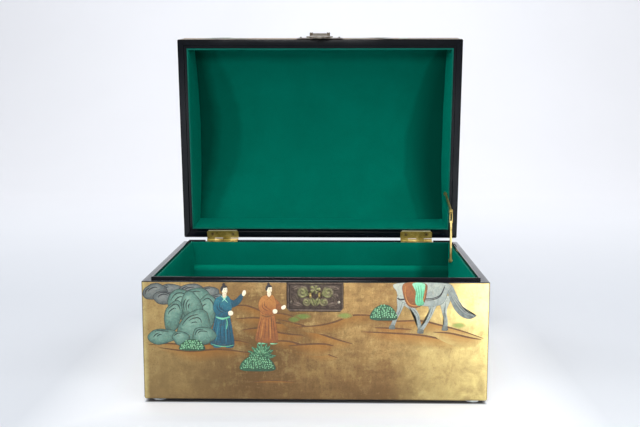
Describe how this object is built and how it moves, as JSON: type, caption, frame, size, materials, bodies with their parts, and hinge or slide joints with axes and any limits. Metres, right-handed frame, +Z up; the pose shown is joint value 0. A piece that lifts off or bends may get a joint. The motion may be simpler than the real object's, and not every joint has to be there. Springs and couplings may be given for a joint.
{
  "type": "jewelry box",
  "caption": "Lacquered wooden box with a barrel-domed hinged lid, gold-leaf outside, velvet lining, padded inner ledges, a folding lid stay, a hasp latch and round bumper feet.",
  "frame": {"origin": "centre of the bounding box's underside with the lid open, on the surface that the feet stand on", "axes": "+Z up, -Y the front with the latch, +Y the hinge side, +X the side with the lid stay"},
  "size_m": [0.33, 0.3252, 0.3663],
  "materials": {
    "gold_leaf_board": "wooden board covered with aged gold leaf and clear lacquer, satin, with painted scenery",
    "black_lacquer": "wooden board under glossy black lacquer",
    "green_velvet": "dark green velvet glued over thin board",
    "brass": "plated brass, satin, slightly tarnished",
    "dark_bronze": "cast metal with a dark purplish patina and a rubbed relief",
    "clear_rubber": "clear soft bumper, slightly milky"
  },
  "bodies": {
    "box": {"front_panel": "gold_leaf_board", "back_panel": "gold_leaf_board", "left_panel": "gold_leaf_board", "right_panel": "gold_leaf_board", "base_panel": "black_lacquer", "liner_front": "black_lacquer", "liner_back": "black_lacquer", "liner_left": "black_lacquer", "liner_right": "black_lacquer", "lining_front": "green_velvet", "lining_back": "green_velvet", "lining_left": "green_velvet", "lining_right": "green_velvet", "lining_floor": "green_velvet", "ledge_front": "green_velvet", "ledge_back": "green_velvet", "foot_front_left": "clear_rubber", "foot_front_right": "clear_rubber", "foot_back_left": "clear_rubber", "foot_back_right": "clear_rubber", "hinge_left_lower_leaf": "brass", "hinge_left_pin": "brass", "hinge_left_lower_screw_1": "brass", "hinge_left_lower_screw_2": "brass", "hinge_right_lower_leaf": "brass", "hinge_right_pin": "brass", "hinge_right_lower_screw_1": "brass", "hinge_right_lower_screw_2": "brass", "latch_body_plate": "dark_bronze", "latch_body_nail_left": "dark_bronze", "latch_body_nail_right": "dark_bronze", "latch_staple_left": "brass", "latch_staple_right": "brass", "stay_lower_screw": "brass"},
    "lid": {"lid_front_panel": "gold_leaf_board", "lid_back_panel": "gold_leaf_board", "lid_left_end": "gold_leaf_board", "lid_right_end": "gold_leaf_board", "lid_top_panel": "gold_leaf_board", "lid_lining_front": "green_velvet", "lid_lining_back": "green_velvet", "lid_lining_left": "green_velvet", "lid_lining_right": "green_velvet", "lid_lining_top": "green_velvet", "hinge_left_upper_leaf": "brass", "hinge_left_upper_screw_1": "brass", "hinge_left_upper_screw_2": "brass", "hinge_right_upper_leaf": "brass", "hinge_right_upper_screw_1": "brass", "hinge_right_upper_screw_2": "brass", "latch_lid_plate": "dark_bronze", "latch_lid_nail_left": "dark_bronze", "latch_lid_nail_right": "dark_bronze", "hasp_pin": "brass", "stay_upper_screw": "brass"},
    "hasp": {"hasp": "dark_bronze"},
    "stay_lower_arm": {"stay_lower_arm": "brass", "stay_elbow_rivet": "brass"},
    "stay_upper_arm": {"stay_upper_arm": "brass"}
  },
  "joints": [
    {"name": "lid_hinge", "type": "hinge", "parent": "box", "child": "lid", "pos_m": [0, 0.08418, 0.12], "axis": [1, 0, 0], "range_deg": [0, 84.7]},
    {"name": "hasp_hinge", "type": "hinge", "parent": "lid", "child": "hasp", "pos_m": [0, 0.07165, 0.36338], "axis": [-1, 0, 0], "range_deg": [0, 150]},
    {"name": "stay_lower_pivot", "type": "hinge", "parent": "box", "child": "stay_lower_arm", "pos_m": [0.1509, 0.02868, 0.1057], "axis": [1, 0, 0], "range_deg": [0, 84.7]},
    {"name": "stay_upper_pivot", "type": "hinge", "parent": "lid", "child": "stay_upper_arm", "pos_m": [0.1509, 0.08818, 0.17651], "axis": [1, 0, 0], "range_deg": [-84.7, 0]}
  ],
  "couplings": [
    {"joint": "stay_lower_pivot", "follows": "lid_hinge", "ratio": 1},
    {"joint": "stay_upper_pivot", "follows": "lid_hinge", "ratio": -1}
  ]
}
